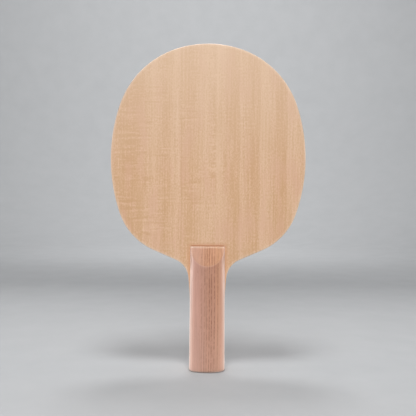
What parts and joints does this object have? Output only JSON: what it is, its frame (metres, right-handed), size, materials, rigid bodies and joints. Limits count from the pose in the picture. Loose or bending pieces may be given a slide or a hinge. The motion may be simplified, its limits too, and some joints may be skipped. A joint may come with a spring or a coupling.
{
  "type": "table tennis paddle",
  "caption": "Bare wooden table tennis paddle: a laminated oval blade with a tang, held between two straight crowned grip scales with thumb ramps.",
  "frame": {"origin": "middle of the grip's flat end face, which the paddle stands on", "axes": "+Z along the paddle's length from the grip to the blade's top edge, +X across the blade's width, +Y through its thickness towards the back"},
  "size_m": [0.15, 0.0236, 0.252],
  "materials": {
    "face_veneer": "fine-sanded, unvarnished, straight vertical grain with small ray flecks",
    "middle_veneer": "sanded edge, grain across the blade",
    "inner_veneer": "sanded edge, grain along the blade",
    "core_wood": "sanded edge, open soft grain",
    "grip_wood": "fine-sanded satin, straight pinkish-brown grain"
  },
  "bodies": {
    "root": {"front_face_ply": "face_veneer", "back_face_ply": "face_veneer", "front_middle_ply": "middle_veneer", "back_middle_ply": "middle_veneer", "front_inner_ply": "inner_veneer", "back_inner_ply": "inner_veneer", "core_ply": "core_wood", "front_grip": "grip_wood", "back_grip": "grip_wood"}
  },
  "joints": []
}
